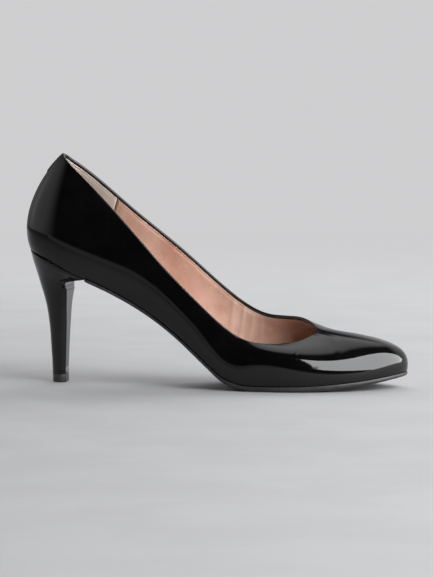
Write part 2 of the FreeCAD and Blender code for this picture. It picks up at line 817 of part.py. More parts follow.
TUBE_X = dim("tube_x")
tube_foot = V(TUBE_X, 0, TIP + 0.1)
tube_rod = cylinder("tube_rod", "tube_radius", "dims.tube_length", tube_foot)
tube_hollow = cylinder("tube_hollow", "tube_bore", "dims.tube_length", tube_foot)
tube = cut("heel_tube", tube_rod, [tube_hollow])
tube_room = cylinder("tube_room", "tube_radius", "dims.tube_length + 0.3", V(TUBE_X, 0, TIP), grow=0.05)
block = cut("heel_block", core, [tube_room, seat_holes])

pin_foot = V(TUBE_X, 0, dim("pin_start"))
pin = cylinder("top_lift_pin", "pin_radius", "dims.pin_length", pin_foot)
pin.Label = "top_lift_pin"

# ---------------------------------------------------------------- top lift
lift = doc.addObject("PartDesign::Body", "top_lift")
lift.Label = "top_lift"
outline = lift.newObject("Sketcher::SketchObject", "lift_outline")
outline.AttachmentSupport = [(origin_plane(lift, "XY_Plane"), "")]
outline.MapMode = "FlatFace"
heel_section(outline, dim("tip_back"), dim("tip_front"), dim("tip_half_width"), 0.8, TIP_BREAST_SHARE)
pad = lift.newObject("PartDesign::Pad", "lift_pad")
pad.Profile = outline
bound(pad, "Length", "dims.tip_height")
pin_hole = lift.newObject("Sketcher::SketchObject", "lift_pin_hole")
pin_hole.AttachmentSupport = [(origin_plane(lift, "XY_Plane"), "")]
pin_hole.MapMode = "FlatFace"
bound(pin_hole, "AttachmentOffset.Base.z", "dims.tip_height")
pin_hole.addGeometry(Part.Circle(V(TUBE_X, 0, 0), V(0, 0, 1), dim("pin_radius") + 0.02))
socket = lift.newObject("PartDesign::Pocket", "lift_socket")
socket.Profile = pin_hole
bound(socket, "Length", "dims.tip_height - dims.pin_start + 0.02")
lift.Tip = socket
doc.recompute()
ground_face = [
    f"Face{k}"
    for k, face in enumerate(socket.Shape.Faces, start=1)
    if abs(face.CenterOfMass.z) < 1e-6
]
bevel = lift.newObject("PartDesign::Chamfer", "lift_bevel")
bevel.Base = (socket, ground_face)
bound(bevel, "Size", "dims.tip_chamfer")
lift.Tip = bevel

# ---------------------------------------------------------------- hand over
doc.recompute()
NODES = [
    "upper_patent",
    "back_tab",
    "quarter_lining",
    "vamp_lining",
    "heel_counter",
    "side_backers",
    "toe_puff",
    "vamp_backer",
    "outsole",
    "insole_forepart",
    "insole_backpart",
    "insole_foam",
    "sock_lining",
    "bottom_filler",
    "shank",
    "shank_rivets",
    "heel_screw",
    "heel_nails",
    "heel_cover",
    "heel_block",
    "heel_tube",
    "top_lift",
    "top_lift_pin",
]

for item in doc.Objects:
    if "Invalid" in item.State or "Error" in item.State:
        raise RuntimeError(f"{item.Label} did not recompute")

os.makedirs("parts", exist_ok=True)
for name in NODES:
    node = doc.getObjectsByLabel(name)[0]
    if node.Shape.isNull() or not node.Shape.isValid():
        raise RuntimeError(f"{name} has no valid shape")
    node.Shape.exportStep(f"parts/{name}.step")
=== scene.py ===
import bmesh
import bpy
import math
import numpy as np
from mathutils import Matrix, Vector


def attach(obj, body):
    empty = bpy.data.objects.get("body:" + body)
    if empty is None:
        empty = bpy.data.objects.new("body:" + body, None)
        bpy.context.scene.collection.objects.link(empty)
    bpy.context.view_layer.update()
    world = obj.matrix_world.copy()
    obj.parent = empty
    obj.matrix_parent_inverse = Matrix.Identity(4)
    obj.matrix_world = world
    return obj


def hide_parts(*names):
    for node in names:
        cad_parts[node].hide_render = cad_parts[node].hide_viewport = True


# A black patent court shoe for the right foot. Shapes are worked out in millimetres in
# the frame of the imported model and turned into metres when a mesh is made.

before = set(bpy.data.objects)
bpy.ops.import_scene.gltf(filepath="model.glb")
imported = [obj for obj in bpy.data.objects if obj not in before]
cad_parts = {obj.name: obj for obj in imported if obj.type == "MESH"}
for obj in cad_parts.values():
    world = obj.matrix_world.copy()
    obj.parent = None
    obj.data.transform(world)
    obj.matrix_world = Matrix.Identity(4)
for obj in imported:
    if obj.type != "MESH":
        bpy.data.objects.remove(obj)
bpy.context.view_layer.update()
MM = 0.001
BODY = "root"
# Rough length of the outline and rough height of the wall, which turn the places u
# and w on the surface into millimetres.
LOOP_LENGTH = 500.0
WALL_HEIGHT = 45.0

# ---------------------------------------------------------------- side profile
FEATHER = 2.6
TOE_START = 145.0
TOE_R = 350.0
BALL_START = 125.0
BALL_R = 36.0
WAIST = math.radians(41.0)
WAIST_END = 86.0
SEAT_START = 25.0
SEAT = math.radians(23.5)
ARCH_R = (WAIST_END - SEAT_START) / (math.sin(WAIST) - math.sin(SEAT))
BALL_END = BALL_START - BALL_R * math.sin(WAIST)
BALL_END_Z = FEATHER + BALL_R * (1.0 - math.cos(WAIST))
WAIST_END_Z = BALL_END_Z + (BALL_END - WAIST_END) * math.tan(WAIST)
SEAT_START_Z = WAIST_END_Z + ARCH_R * (math.cos(SEAT) - math.cos(WAIST))
SEAT_Z = SEAT_START_Z + SEAT_START * math.tan(SEAT)


def slope(x):
    """Slope angle of the feather line at x, positive where it climbs towards the heel."""
    toe = -np.arcsin(np.clip((x - TOE_START) / TOE_R, 0.0, 1.0))
    ball = np.arcsin(np.clip((BALL_START - x) / BALL_R, 0.0, math.sin(WAIST)))
    rise = math.sin(WAIST) - (WAIST_END - x) / ARCH_R
    arch = np.arcsin(np.clip(rise, math.sin(SEAT), math.sin(WAIST)))
    return np.where(x > BALL_START, toe, np.where(x > WAIST_END, ball, arch))


def feather_z(x):
    """Height of the feather line at x: toe arc, tread, ball arc, waist, arch arc, seat."""
    a = slope(x)
    toe = FEATHER + TOE_R * (1.0 - np.cos(a))
    ball = FEATHER + BALL_R * (1.0 - np.cos(a))
    waist = BALL_END_Z + (BALL_END - x) * math.tan(WAIST)
    arch = WAIST_END_Z + ARCH_R * (np.cos(a) - math.cos(WAIST))
    seat = SEAT_START_Z + (SEAT_START - x) * math.tan(SEAT)
    places = [x > BALL_START, x > BALL_END, x > WAIST_END, x > SEAT_START]
    return np.select(places, [toe, ball, waist, arch], seat)


def height_off(x, offset):
    """Height at x of the line that runs at a distance above or below the feather line."""
    foot = np.array(x, float)
    for step in range(8):
        foot = x - offset * np.sin(slope(foot))
    return feather_z(foot) + offset * np.cos(slope(foot))


# ---------------------------------------------------------------- upper surface
# Stations from the centre back along the outer side to the toe and back along the inner
# side. Each gives the feather point x y, the topline point x y z, and for the lower and
# the upper handle of the rib between them: length share, lean, bulge.
STATIONS = np.array([
    (-18.0, 0.0, 2.4, 0.0, 141.0, 0.30, 0.0, 8.0, 0.25, 1.0, 11.0),
    (-12.5, -14.5, 6.5, -9.0, 137.0, 0.30, 0.0, 7.5, 0.25, 1.0, 10.0),
    (6.0, -23.5, 20.0, -15.5, 125.0, 0.32, 0.3, 6.0, 0.28, 1.0, 6.0),
    (31.0, -24.0, 43.0, -20.0, 102.3, 0.34, 0.8, 5.0, 0.30, 1.0, 3.0),
    (59.0, -22.5, 69.0, -25.0, 74.5, 0.34, 1.0, 5.0, 0.30, 1.0, 2.5),
    (86.0, -27.5, 94.0, -29.0, 50.8, 0.34, 1.0, 4.6, 0.30, 1.0, 2.0),
    (111.0, -34.0, 116.0, -29.5, 33.3, 0.36, 0.5, 2.8, 0.20, 1.0, 3.8),
    (137.0, -37.0, 134.5, -26.0, 28.4, 0.53, 0.0, 2.2, 0.17, 1.0, 14.0),
    (162.5, -34.0, 149.5, -18.0, 29.3, 0.59, 0.0, 4.2, 0.20, 0.6, 15.0),
    (193.0, -21.5, 156.5, -8.5, 32.0, 0.66, 0.0, 4.2, 0.17, 0.0, 23.5),
    (213.6, 2.0, 159.4, 0.5, 34.6, 0.66, 0.0, 4.0, 0.16, 0.0, 45.5),
    (203.0, 21.8, 157.2, 6.5, 36.8, 0.66, 0.0, 3.8, 0.20, 0.0, 25.5),
    (173.8, 34.5, 149.0, 15.0, 40.7, 0.56, 0.0, 3.4, 0.20, 0.6, 13.0),
    (145.0, 37.5, 136.0, 22.0, 41.6, 0.46, 0.2, 2.6, 0.20, 1.0, 9.0),
    (115.0, 31.5, 119.5, 26.5, 44.2, 0.36, 0.8, 3.2, 0.30, 1.0, 3.5),
    (86.0, 21.5, 98.0, 27.5, 58.3, 0.34, 1.0, 3.5, 0.30, 1.0, 2.5),
    (58.0, 18.0, 71.5, 25.5, 81.6, 0.34, 1.0, 4.0, 0.30, 1.0, 2.5),
    (31.0, 20.5, 45.0, 20.5, 103.9, 0.34, 0.8, 5.0, 0.30, 1.0, 3.0),
    (6.0, 22.5, 20.0, 15.5, 126.0, 0.32, 0.3, 6.0, 0.28, 1.0, 6.0),
    (-12.5, 14.5, 6.5, 9.0, 137.0, 0.30, 0.0, 7.5, 0.25, 1.0, 10.0),
])
COUNT = len(STATIONS)
CYCLE = np.eye(COUNT)
SPLINE = 4.0 * CYCLE + np.roll(CYCLE, 1, 0) + np.roll(CYCLE, -1, 0)
SECOND = np.linalg.solve(
    SPLINE, 6.0 * (np.roll(STATIONS, 1, 0) - 2.0 * STATIONS + np.roll(STATIONS, -1, 0))
)


def station_values(u):
    """Station values, and how fast they change, on a closed cubic through the stations."""
    place = (u % 1.0) * COUNT
    i = np.floor(place).astype(int) % COUNT
    j = (i + 1) % COUNT
    f = (place - np.floor(place))[..., None]
    g = 1.0 - f
    bend = SECOND[i] * (g ** 3 - g) + SECOND[j] * (f ** 3 - f)
    values = STATIONS[i] * g + STATIONS[j] * f + bend / 6.0
    turn = SECOND[i] * (1.0 - 3.0 * g * g) + SECOND[j] * (3.0 * f * f - 1.0)
    return values, (STATIONS[j] - STATIONS[i] + turn / 6.0) * COUNT


def outward(change):
    """Unit normals in plan of a closed curve, from how fast x and y change along it."""
    size = np.hypot(change[..., 0], change[..., 1])
    flat = np.zeros(size.shape)
    return np.stack([change[..., 1] / size, -change[..., 0] / size, flat], -1)


def rib(u):
    """The four handles of the wall at u, feather first, and the outward normal at its foot."""
    c, change = station_values(u)
    foot = np.stack([c[..., 0], c[..., 1], feather_z(c[..., 0])], -1)
    top = c[..., 2:5]
    lean = (top - foot) * [1.0, 1.0, 0.0]
    rise = (top - foot) * [0.0, 0.0, 1.0]
    foot_out = outward(change[..., 0:2])
    top_out = outward(change[..., 2:4])
    low = foot + lean * c[..., 5:6] * c[..., 6:7] + rise * c[..., 5:6] + foot_out * c[..., 7:8]
    high = top - lean * c[..., 8:9] * c[..., 9:10] - rise * c[..., 8:9] + top_out * c[..., 10:11]
    return foot, low, high, top, foot_out


def cubic(a, b, c, d, v):
    """Point at v on the curve with these four handles."""
    w = 1.0 - v
    return a * w ** 3 + b * (3.0 * w * w * v) + c * (3.0 * w * v * v) + d * v ** 3


MARGIN = 12.0
ROUND = 1.7


def skin(u, w):
    """Outer face of the upper: w 0..1 margin under the foot, 1..2 feather round, 2..3 wall."""
    foot, low, high, top, foot_out = rib(u)
    start = (ROUND / (3.0 * np.linalg.norm(low - foot, axis=-1)))[..., None]
    level = w[..., None]
    wall = cubic(foot, low, high, top, start + np.maximum(level - 2.0, 0.0) * (1.0 - start))
    end = cubic(foot, low, high, top, start)
    inner = foot - foot_out * ROUND
    inner[..., 2] = feather_z(inner[..., 0])
    t = np.clip(level - 1.0, 0.0, 1.0)
    turn = inner * (1.0 - t) ** 2 + foot * (2.0 * t * (1.0 - t)) + end * t ** 2
    margin = foot - foot_out * (MARGIN + (ROUND - MARGIN) * np.clip(level, 0.0, 1.0))
    margin[..., 2] = feather_z(margin[..., 0])
    return np.where(level >= 2.0, wall, np.where(level <= 1.0, margin, turn))


def skin_normal(u, w):
    """Unit normal of the outer face, pointing out of the shoe."""
    along = skin(u + 0.0005, w) - skin(u - 0.0005, w)
    across = skin(u, np.minimum(w + 0.002, 3.0)) - skin(u, np.maximum(w - 0.002, 0.0))
    normal = np.cross(along, across)
    return normal / np.linalg.norm(normal, axis=-1, keepdims=True)


def top_speed(u):
    """Millimetres of wall for each unit of w at the topline."""
    foot, low, high, top, foot_out = rib(u)
    start = ROUND / (3.0 * np.linalg.norm(low - foot, axis=-1))
    return 3.0 * np.linalg.norm(top - high, axis=-1) * (1.0 - start)


def bell(distance, width):
    """1 at the middle of a fold, falling smoothly to 0 a width or two away."""
    return np.exp(-((distance / width) ** 2))


def line_distance(u, w, start, end):
    """Distance in mm from a straight line drawn on the wall, and the share along it."""
    ax, ay = start[0] * LOOP_LENGTH, start[1] * WALL_HEIGHT
    bx, by = end[0] * LOOP_LENGTH, end[1] * WALL_HEIGHT
    dx, dy = bx - ax, by - ay
    size = math.hypot(dx, dy)
    px, py = u * LOOP_LENGTH - ax, w * WALL_HEIGHT - ay
    share = (px * dx + py * dy) / (size * size)
    across = (px * dy - py * dx) / size
    return across, share


# Creases of the vamp: from place (u, w) to place, depth and width in mm. A ridge has a
# depth below nought.
CREASES = [
    ((0.4055, 2.2), (0.4245, 2.76), -0.010, 1.2),
    ((0.478, 2.985), (0.432, 2.50), -0.10, 1.5),
    ((0.404, 2.97), (0.376, 2.50), 0.09, 0.9),
    ((0.570, 2.90), (0.592, 2.45), 0.08, 2.6),
]
CREASE_FADE = 0.15
CREASE_LIP = 0.45
SWELL = 0.022
SWELL_START = 1.9
SEAM_DEPTH = 0.28
SEAM_HALF_WIDTH = 0.35


def wear(u, w):
    """Depth in mm of the creases, the back seam and the slow unevenness of the skin."""
    depth = np.zeros(u.shape)
    for start, end, deep, width in CREASES:
        across, share = line_distance(u, w, start, end)
        fade = np.clip(share / CREASE_FADE, 0.0, 1.0)
        fade = fade * np.clip((1.0 - share) / CREASE_FADE, 0.0, 1.0)
        lips = bell(np.abs(across) - 2.0 * width, width)
        groove = bell(across, width) - CREASE_LIP * lips
        depth += deep * groove * fade * fade * (3.0 - 2.0 * fade)
    turn = 2.0 * math.pi * u
    wall = np.clip(w - 2.0, 0.0, 1.0)
    slow = np.sin(7.0 * turn + 4.0 * wall + 0.6) + np.sin(13.0 * turn - 7.0 * wall + 2.1)
    slow += 0.8 * np.sin(19.0 * turn + 9.0 * wall + 4.0)
    fade = np.clip(w - SWELL_START, 0.0, 1.0)
    depth += SWELL * slow * fade
    back = (u + 0.5) % 1.0 - 0.5
    depth += SEAM_DEPTH * bell(back * LOOP_LENGTH, SEAM_HALF_WIDTH) * (w > 1.0)
    return depth


def under_skin(u, w, depth):
    """Points at a depth inside the worn outer face, in mm."""
    return skin(u, w) - skin_normal(u, w) * (depth + wear(u, w))[..., None]


# ---------------------------------------------------------------- mesh helpers
def grid_faces(rows, columns, close_rows, close_columns):
    """Quads of a grid of points numbered row by row."""
    faces = []
    for i in range(rows if close_rows else rows - 1):
        for j in range(columns if close_columns else columns - 1):
            a, b = i * columns, ((i + 1) % rows) * columns
            k = (j + 1) % columns
            faces.append((a + j, b + j, b + k, a + k))
    return faces


def piece(name, points, faces, slot, nodes=(), finish=""):
    """A smooth closed mesh from points in mm, riding on the shoe. It has its slot's
    finish, unless another is named."""
    data = bpy.data.meshes.new(name)
    flat = np.asarray(points, float).reshape(-1, 3) * MM
    data.from_pydata(flat.tolist(), [], faces)
    thing = bpy.data.objects.new(name, data)
    bpy.context.scene.collection.objects.link(thing)
    clean_mesh(data)
    data.materials.append(FINISHES[finish or slot])
    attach(thing, BODY)
    if nodes:
        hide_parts(*nodes)
    return thing


MERGE = 0.004 * MM
SHORTEST_EDGE = 0.002 * MM


def clean_mesh(data):
    """Merge doubled points, point all faces outwards and shade them smooth."""
    work = bmesh.new()
    work.from_mesh(data)
    bmesh.ops.remove_doubles(work, verts=work.verts, dist=MERGE)
    bmesh.ops.dissolve_degenerate(work, edges=work.edges, dist=SHORTEST_EDGE)
    bmesh.ops.recalc_face_normals(work, faces=work.faces)
    for face in work.faces:
        face.smooth = True
    work.to_mesh(data)
    work.free()


def cap_faces(loop_length, first):
    """Quads that close the end of a sheet whose section is a loop up one side and down
    the other."""
    half = loop_length // 2
    faces = []
    for j in range(half - 1):
        mirror = loop_length - 1 - j
        faces.append((first + j, first + j + 1, first + mirror - 1, first + mirror))
    return faces


def fan_faces(first, count, centre):
    """Triangles from a ring of points to one centre point."""
    return [(first + k, first + (k + 1) % count, centre) for k in range(count)]


COLUMNS = 460


def columns_with(extra):
    """Places round the shoe, about a millimetre apart, with finer bands where asked."""
    parts = [np.arange(0, COLUMNS) / COLUMNS]
    for low, high, step in extra:
        parts.append(np.arange(low, high, step) % 1.0)
    return np.unique(np.round(np.concatenate(parts), 6))


def sheet_section(u, deep_side, shallow_side, top, edge, first_rows):
    """w and depth of a sheet's section at each u: up its outer side, round the top edge
    and down its inner side. The sheet ends at top mm below the topline, and edge is how
    far its rounding reaches down."""
    speed = top_speed(u)
    reach = top + 6.0
    rows_w, rows_depth = [], []
    wall = np.linspace(0.0, 1.0, 34)
    steps = top + np.array([5.0, 4.0, 3.2, 2.5, 1.9, 1.4])
    steps = steps[steps > top + edge]

    def add_side(depth, upwards):
        """Rows of one side of the sheet at an even depth."""
        part = [np.full(u.shape, w) for w in first_rows]
        part += [2.0 + r * (1.0 - reach / speed) for r in wall]
        part += [3.0 - s / speed for s in steps]
        if not upwards:
            part = part[::-1]
        for w in part:
            rows_w.append(w)
            rows_depth.append(np.full(u.shape, depth))

    add_side(shallow_side, True)
    middle = (shallow_side + deep_side) / 2.0
    half = (deep_side - shallow_side) / 2.0
    for angle in np.linspace(0.0, math.pi, 11):
        rows_w.append(3.0 - (top + edge - edge * math.sin(angle)) / speed)
        rows_depth.append(np.full(u.shape, middle - half * math.cos(angle)))
    add_side(deep_side, False)
    return np.array(rows_w).T, np.array(rows_depth).T


# ---------------------------------------------------------------- finishes
EVEN = (1.0, 1.0, 1.0)


def new_material(name):
    """A node material, with its tree and its main shader."""
    material = bpy.data.materials.new(name)
    material.use_nodes = True
    return material, material.node_tree, material.node_tree.nodes["Principled BSDF"]


def object_place(tree, stretch=EVEN):
    """Object coordinates in millimetres, optionally squeezed along an axis."""
    place = tree.nodes.new("ShaderNodeTexCoord")
    scale = tree.nodes.new("ShaderNodeMapping")
    scale.inputs["Scale"].default_value = [s / MM for s in stretch]
    tree.links.new(place.outputs["Object"], scale.inputs["Vector"])
    return scale.outputs["Vector"]


def noise(tree, place, size, detail=4.0, rough=0.55):
    """Cloudy values about 0.5 with lumps of a given size in mm."""
    node = tree.nodes.new("ShaderNodeTexNoise")
    node.inputs["Scale"].default_value = 1.0 / size
    node.inputs["Detail"].default_value = detail
    node.inputs["Roughness"].default_value = rough
    tree.links.new(place, node.inputs["Vector"])
    return node.outputs["Fac"]


def cells(tree, place, size):
    """Distance from the middle of irregular cells of a given size in mm."""
    node = tree.nodes.new("ShaderNodeTexVoronoi")
    node.inputs["Scale"].default_value = 1.0 / size
    tree.links.new(place, node.inputs["Vector"])
    return node.outputs["Distance"]


def ramp(tree, value, stops):
    """A smooth colour for each value, from (place, colour) stops."""
    node = tree.nodes.new("ShaderNodeValToRGB")
    node.color_ramp.interpolation = "EASE"
    points = node.color_ramp.elements
    while len(points) < len(stops):
        points.new(0.5)
    for point, (where, colour) in zip(points, stops):
        point.position = where
        point.color = (*colour, 1.0)
    tree.links.new(value, node.inputs["Fac"])
    return node.outputs["Color"]


def stretch_value(tree, value, low, high, from_low=0.3, from_high=0.7):
    """A value moved from one range to another."""
    node = tree.nodes.new("ShaderNodeMapRange")
    node.inputs["From Min"].default_value = from_low
    node.inputs["From Max"].default_value = from_high
    node.inputs["To Min"].default_value = low
    node.inputs["To Max"].default_value = high
    tree.links.new(value, node.inputs["Value"])
    return node.outputs["Result"]


def join_values(tree, one, other, how="ADD"):
    """Two values added or multiplied. The second may be a plain number."""
    node = tree.nodes.new("ShaderNodeMath")
    node.operation = how
    tree.links.new(one, node.inputs[0])
    if isinstance(other, float):
        node.inputs[1].default_value = other
    else:
        tree.links.new(other, node.inputs[1])
    return node.outputs[0]


def relief(tree, shader, height, depth):
    """Bump whose full height is a depth in mm."""
    node = tree.nodes.new("ShaderNodeBump")
    node.inputs["Strength"].default_value = 1.0
    node.inputs["Distance"].default_value = depth * MM
    tree.links.new(height, node.inputs["Height"])
    tree.links.new(node.outputs["Normal"], shader.inputs["Normal"])


def grey(value):
    """A grey a touch towards blue."""
    return (value, value, value * 1.03)


def patent_finish():
    """Black patent leather: a hard clear gloss with the faintest orange peel and dust."""
    material, tree, shader = new_material("black_patent")
    place = object_place(tree)
    cloud = noise(tree, place, 14.0)
    black = ramp(tree, cloud, [(0.3, grey(0.0012)), (0.7, grey(0.0022))])
    tree.links.new(black, shader.inputs["Base Color"])
    dust = noise(tree, place, 2.2, 6.0, 0.7)
    tree.links.new(stretch_value(tree, dust, 0.035, 0.075), shader.inputs["Roughness"])
    shader.inputs["IOR"].default_value = 1.46
    peel = join_values(tree, noise(tree, place, 5.0, 1.0), noise(tree, place, 1.1, 2.0))
    relief(tree, shader, peel, 0.006)
    return material


# How far along the lining its painted shade runs, in mm, and by how much the colour is darkened or
# lightened at each share of that.
SHADE_FROM = 20.0
SHADE_TO = 170.0
# painted shade: multipliers of the lining colour, darker near the quarter seam and in the toe
PAINTED_SHADE_TINTS = [
    (0.22, (1.0, 1.0, 1.0)),
    (0.31, (0.80, 0.68, 0.62)),
    (0.47, (1.0, 1.0, 1.0)),
    (0.66, (1.06, 1.14, 1.18)),
    (0.82, (0.88, 0.80, 0.78)),
    (1.0, (0.46, 0.35, 0.30)),
]


def painted_shade_along(tree, place, colour):
    """The lining colour with painted shade: darker and redder near the quarter seam and deep in the
    toe, and a touch lighter in between.
    """
    parts = tree.nodes.new("ShaderNodeSeparateXYZ")
    tree.links.new(place, parts.inputs["Vector"])
    along = stretch_value(tree, parts.outputs["X"], 0.0, 1.0, SHADE_FROM, SHADE_TO)
    shade_ramp = ramp(tree, along, PAINTED_SHADE_TINTS)
    # the colour inputs of this node are its seventh and eighth, and its result the third
    mix = tree.nodes.new("ShaderNodeMix")
    mix.data_type = "RGBA"
    mix.blend_type = "MULTIPLY"
    mix.inputs["Factor"].default_value = 1.0
    tree.links.new(colour, mix.inputs[6])
    tree.links.new(shade_ramp, mix.inputs[7])
    return mix.outputs[2]


def leather_finish(name, dark, light, pale, size=0.55, depth=0.05, with_painted_shade=False):
    """Smooth lining leather: soft patches of colour, pores and fine creases, and painted shade along
    it where asked.
    """
    material, tree, shader = new_material(name)
    place = object_place(tree)
    patches = join_values(tree, noise(tree, place, 16.0, 3.0, 0.6), 0.8, "MULTIPLY")
    fine = noise(tree, place, 0.9, 3.0)
    mixed = join_values(tree, patches, join_values(tree, fine, 0.2, "MULTIPLY"))
    leather = ramp(tree, mixed, [(0.32, dark), (0.5, light), (0.7, pale)])
    # painted shade darkens the lining colour along its length
    if with_painted_shade:
        leather = painted_shade_along(tree, place, leather)
    tree.links.new(leather, shader.inputs["Base Color"])
    tree.links.new(stretch_value(tree, fine, 0.5, 0.66), shader.inputs["Roughness"])
    shader.inputs["IOR"].default_value = 1.45
    shader.inputs["Sheen Weight"].default_value = 0.08
    pores = cells(tree, place, size)
    creases = noise(tree, object_place(tree, (1.0, 1.0, 0.35)), 1.6, 4.0, 0.65)
    relief(tree, shader, join_values(tree, pores, creases), depth)
    return material


def plain_finish(name, dark, light, spot, rough, grain, depth, metallic=0.0, stretch=EVEN):
    """Rubber, board, plastic, felt, thread or metal: two shades in spots and a grain."""
    material, tree, shader = new_material(name)
    place = object_place(tree, stretch)
    spots = noise(tree, place, spot, 4.0)
    tree.links.new(ramp(tree, spots, [(0.35, dark), (0.65, light)]), shader.inputs["Base Color"])
    grains = noise(tree, place, grain, 5.0, 0.65)
    tree.links.new(stretch_value(tree, grains, rough[0], rough[1]), shader.inputs["Roughness"])
    shader.inputs["Metallic"].default_value = metallic
    relief(tree, shader, grains, depth)
    return material


def weave_finish(name, dark, light, pitch):
    """Plain woven backing cloth."""
    material, tree, shader = new_material(name)
    place = object_place(tree)
    waves = []
    for axis in ("X", "Z"):
        wave = tree.nodes.new("ShaderNodeTexWave")
        wave.bands_direction = axis
        wave.inputs["Scale"].default_value = 0.314 / pitch
        wave.inputs["Distortion"].default_value = 0.6
        tree.links.new(place, wave.inputs["Vector"])
        waves.append(wave.outputs["Fac"])
    threads = join_values(tree, waves[0], waves[1], "MULTIPLY")
    tree.links.new(ramp(tree, threads, [(0.0, dark), (1.0, light)]), shader.inputs["Base Color"])
    shader.inputs["Roughness"].default_value = 0.85
    relief(tree, shader, threads, 0.12)
    return material


FINISHES = {
    "black_patent": patent_finish(),
    "beige_lining": leather_finish(
        "beige_lining", (0.37, 0.31, 0.26), (0.42, 0.365, 0.315), (0.47, 0.42, 0.375)
    ),
    # the pink lining carries painted shade along its length
    "pink_lining": leather_finish(
        "pink_lining", (0.34, 0.19, 0.14), (0.41, 0.25, 0.19), (0.48, 0.315, 0.25), with_painted_shade=True
    ),
    "sock_leather": leather_finish(
        "sock_leather", (0.38, 0.265, 0.205), (0.44, 0.32, 0.255), (0.50, 0.375, 0.31), 0.8, 0.07
    ),
    "backer_cloth": weave_finish("backer_cloth", (0.35, 0.34, 0.31), (0.62, 0.61, 0.57), 0.45),
}
# Dark and light shade, size of the spots, range of roughness, size and depth of the grain,
# and for metal how metallic it is and how the grain is drawn out. Sizes are in mm.
PLAIN_FINISHES = {
    "fibre_stiffener": ((0.16, 0.12, 0.08), (0.3, 0.24, 0.17), 3.0, (0.8, 0.95), 0.5, 0.1),
    "sole_rubber": ((0.011, 0.011, 0.011), (0.022, 0.021, 0.021), 4.0, (0.34, 0.5), 0.35, 0.03),
    "lift_rubber": ((0.016, 0.015, 0.015), (0.028, 0.027, 0.026), 1.5, (0.3, 0.45), 0.25, 0.03),
    "fibre_board": ((0.2, 0.13, 0.08), (0.36, 0.26, 0.17), 2.0, (0.8, 0.95), 0.3, 0.1),
    "foam": ((0.62, 0.6, 0.5), (0.78, 0.76, 0.68), 2.5, (0.85, 0.95), 0.4, 0.2),
    "filler_felt": ((0.12, 0.12, 0.13), (0.25, 0.25, 0.26), 1.5, (0.9, 1.0), 0.3, 0.2),
    "shank_steel": (
        (0.32, 0.33, 0.35), (0.48, 0.49, 0.5), 6.0, (0.25, 0.45), 0.3, 0.02, 1.0, (0.1, 1.0, 1.0)
    ),
    "fixing_steel": ((0.42, 0.4, 0.36), (0.6, 0.58, 0.53), 1.0, (0.25, 0.4), 0.2, 0.02, 1.0),
    "heel_plastic": ((0.10, 0.10, 0.10), (0.14, 0.14, 0.13), 5.0, (0.4, 0.55), 0.3, 0.03),
    "black_thread": ((0.006, 0.006, 0.006), (0.014, 0.014, 0.014), 0.6, (0.5, 0.7), 0.15, 0.05),
    "pale_thread": ((0.5, 0.4, 0.32), (0.66, 0.55, 0.46), 0.6, (0.6, 0.8), 0.15, 0.05),
}
for kind, values in PLAIN_FINISHES.items():
    FINISHES[kind] = plain_finish(kind, *values)

# ---------------------------------------------------------------- upper
PATENT = 1.1
FOLD = 1.8
FOLD_TALL = 2.2
FOLD_EASE = 0.8
EDGE_ROUND = 0.9
LINING_DEPTH = 1.9
LINING = 0.8
WALL_DEPTH = LINING_DEPTH + LINING
LINING_TOP = 1.9
MARGIN_ROWS = [0.0, 0.3, 0.57, 0.8, 0.95, 1.0, 1.2, 1.4, 1.6, 1.8]


def build_upper():
    """The patent skin with its turned-over topline edge."""
    # finer columns at the back seam and the creases
    fine = [(-0.004, 0.0041, 0.0003), (0.372, 0.440, 0.0006), (0.566, 0.60, 0.001)]
    u = columns_with(fine)
    w, depth = sheet_section(u, FOLD, 0.0, 0.0, EDGE_ROUND, MARGIN_ROWS)
    # below the turned-over edge the inner side is only one thickness of leather deep
    below = (3.0 - w) * top_speed(u)[:, None]
    inner = depth > FOLD - 0.001
    thin = np.clip((below - FOLD_TALL) / FOLD_EASE, 0.0, 1.0)
    depth = np.where(inner, FOLD + (PATENT - FOLD) * thin, depth)
    whole = np.broadcast_to(u[:, None], w.shape)
    points = under_skin(whole, w, depth)
    rows, columns = w.shape
    faces = grid_faces(rows, columns, True, True)
    piece("upper", points, faces, "black_patent", ["upper_patent"])


QUARTER_SEAM = 0.1275
SEAM_GAP = 0.0004
LINING_ROUND = 0.4
EDGE_BEAD = 0.45
SEAM_DIP = 0.35
# Upright wrinkles of the lining: place u, lean, and depth and width in mm.
WRINKLES = [
    (0.7315, 0.010, 0.34, 1.3),
    (0.7195, 0.004, 0.42, 1.0),
    (0.709, -0.004, 0.38, 1.1),
    (0.696, -0.006, 0.28, 1.4),
    (0.654, 0.010, 0.20, 2.0),
    (0.585, -0.010, 0.22, 2.2),
    (0.268, 0.006, 0.22, 1.6),
    (0.283, -0.004, 0.26, 1.3),
    (0.352, 0.008, 0.20, 1.8),
]


